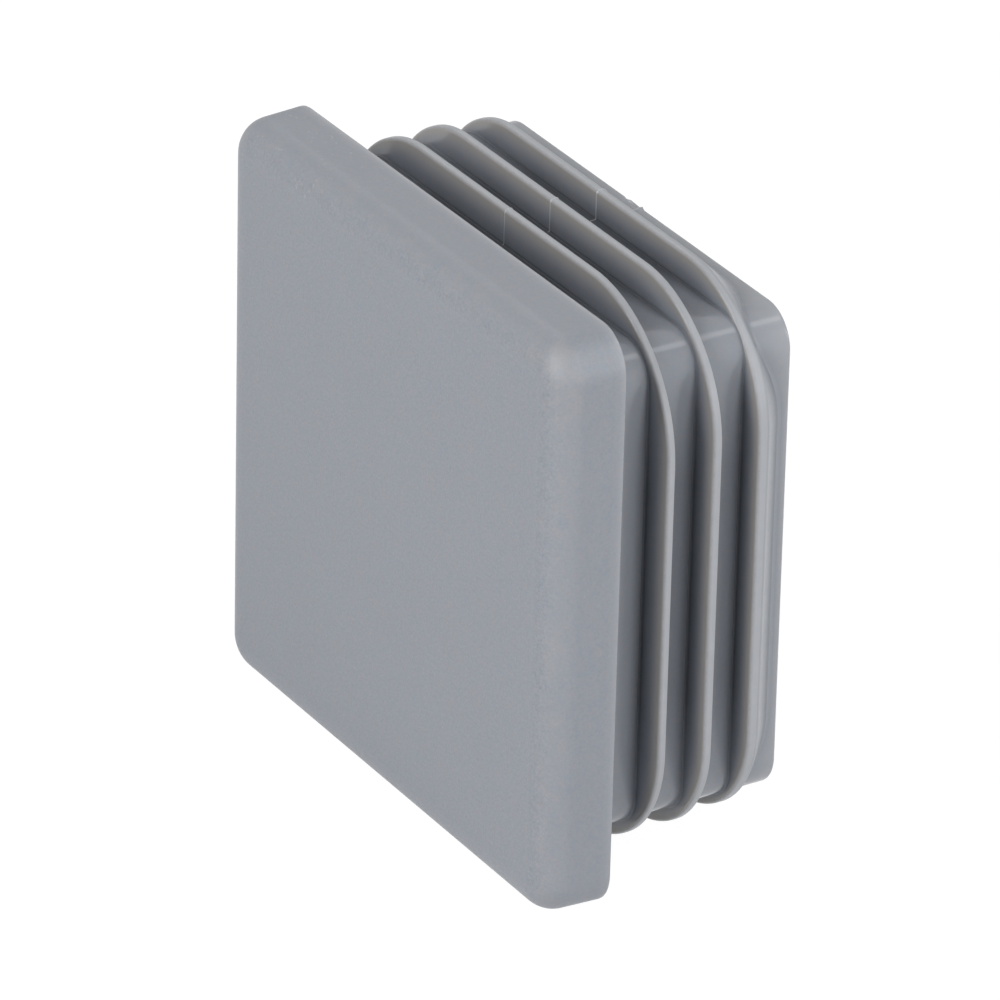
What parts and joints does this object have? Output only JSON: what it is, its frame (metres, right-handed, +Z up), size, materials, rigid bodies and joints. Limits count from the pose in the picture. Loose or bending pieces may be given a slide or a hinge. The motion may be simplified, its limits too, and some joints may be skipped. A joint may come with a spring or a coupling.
{
  "type": "square tube end cap",
  "caption": "Square ribbed end cap for a square tube: a thick soft-edged head on a hollow plug ringed with thin gripping fins, moulded in grey plastic.",
  "frame": {"origin": "centre of the shoulder plane, the head's inner face, which seats on the end of the tube", "axes": "+Y along the plug into the tube, the head's outer face towards -Y, +Z up"},
  "size_m": [0.05, 0.0237, 0.05],
  "materials": {
    "grey_plastic": "satin"
  },
  "bodies": {
    "root": {"end_cap": "grey_plastic"}
  },
  "joints": []
}
